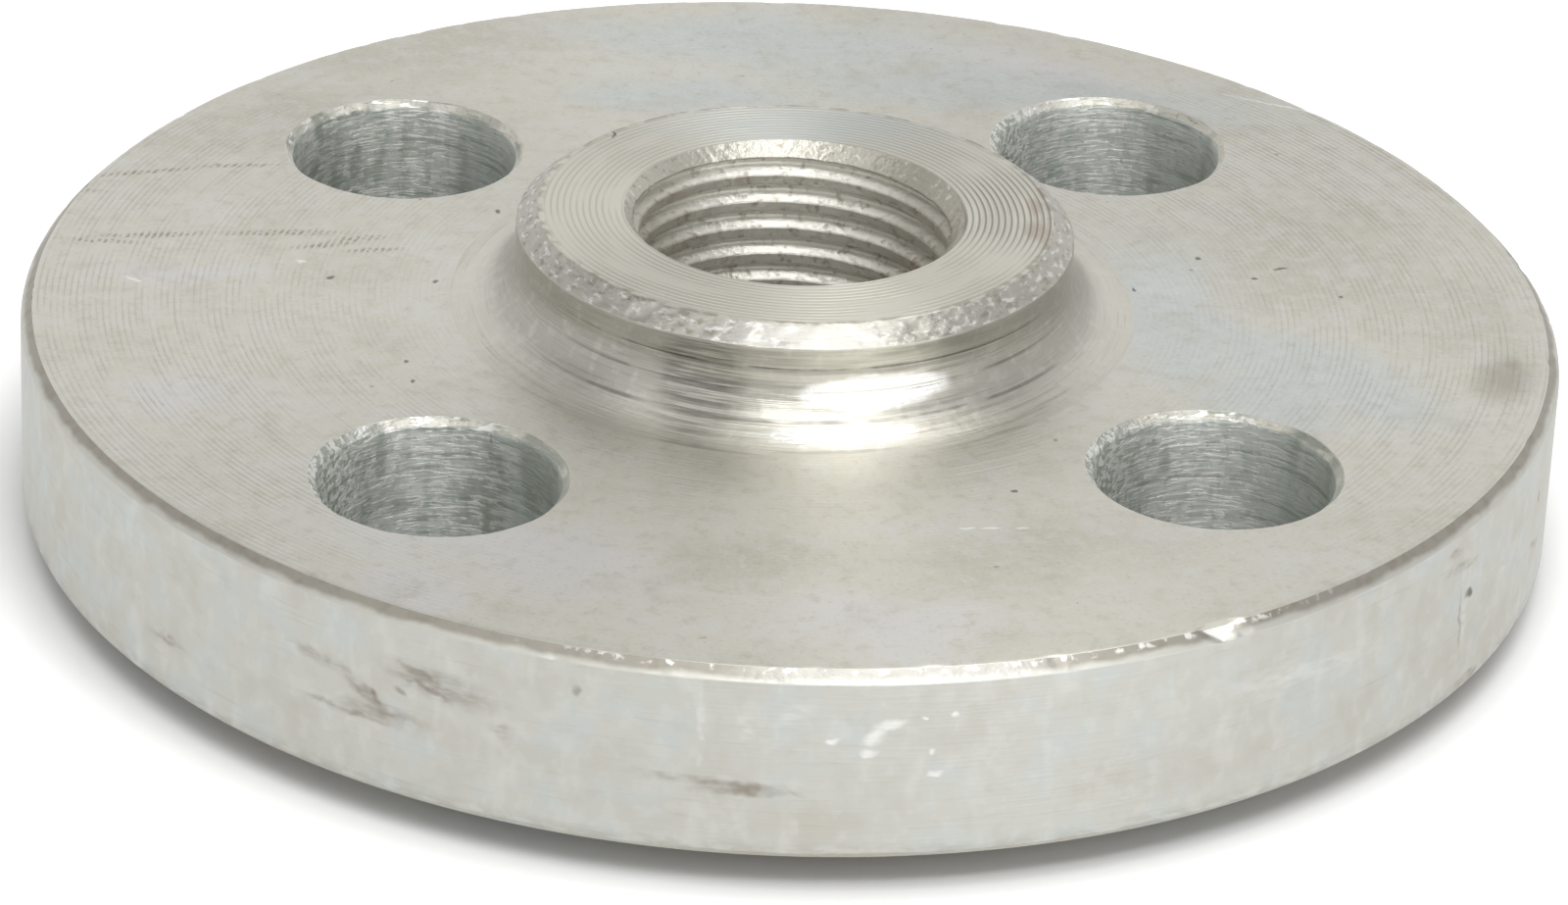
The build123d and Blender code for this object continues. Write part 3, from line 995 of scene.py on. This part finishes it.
def floor():
    """A wide white table that keeps the flange's shadow. Past the lamps' reach it is plain white."""
    side = 3.0
    corners = [(-side, -side, 0), (side, -side, 0), (side, side, 0), (-side, side, 0)]
    mesh = bpy.data.meshes.new("floor")
    mesh.from_pydata(corners, [], [(0, 1, 2, 3)])
    table = bpy.data.objects.new("floor", mesh)
    bpy.context.scene.collection.objects.link(table)
    material = bpy.data.materials.new("floor")
    material.use_nodes = True
    nodes, links = material.node_tree.nodes, material.node_tree.links
    nodes.clear()

    def node(kind, *wired, operation=None, **inputs):
        made = nodes.new(kind)
        if operation:
            made.operation = operation
        for name, value in inputs.items():
            made.inputs[name.replace("_", " ")].default_value = value
        for place, output in enumerate(wired):
            links.new(output, made.inputs[place])
        return made

    coords, path = node("ShaderNodeTexCoord"), node("ShaderNodeLightPath")
    seen = path.outputs["Is Camera Ray"]
    for ray in ("Is Glossy Ray", "Is Transmission Ray"):
        seen = node("ShaderNodeMath", seen, path.outputs[ray], operation="MAXIMUM").outputs[0]
    away = node("ShaderNodeVectorMath", coords.outputs["Object"], operation="LENGTH")
    far = node("ShaderNodeMapRange", away.outputs["Value"], From_Min=FLOOR_LIT_R, From_Max=FLOOR_LIT_R * 2)
    open_to = node("ShaderNodeAmbientOcclusion", Distance=CONTACT_REACH)
    contact = ramp(nodes, links, open_to.outputs["AO"], CONTACT_LEVELS)
    shadowed = node("ShaderNodeBsdfDiffuse", contact)
    matt = node("ShaderNodeBsdfDiffuse", Color=grey(FLOOR_GREY))
    near = node("ShaderNodeMixShader", path.outputs["Is Camera Ray"], matt.outputs[0], shadowed.outputs[0])
    white = node("ShaderNodeEmission")
    share = node("ShaderNodeMath", seen, far.outputs[0], operation="MULTIPLY")
    both = node("ShaderNodeMixShader", share.outputs[0], near.outputs[0], white.outputs[0])
    node("ShaderNodeOutputMaterial", both.outputs[0])
    mesh.materials.append(material)


flange = bpy.data.objects.new("threaded_flange", flange_mesh(finishes()))
bpy.context.scene.collection.objects.link(flange)
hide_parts("flange")
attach(flange, "root")

place_camera()
world_light()
floor()
softbox("front_right", right=35, above=22, distance=0.65, width=0.60, height=0.56, level=0.65)
softbox("key", right=20, above=59, distance=0.65, width=0.44, height=0.13, level=7.0)
softbox("overhead", right=120, above=75, distance=0.65, width=0.34, height=0.34, level=2.2)
softbox("left_fill", right=-52, above=60, distance=0.65, width=0.56, height=0.40, level=0.9)

bpy.context.scene.view_settings.view_transform = "Standard"
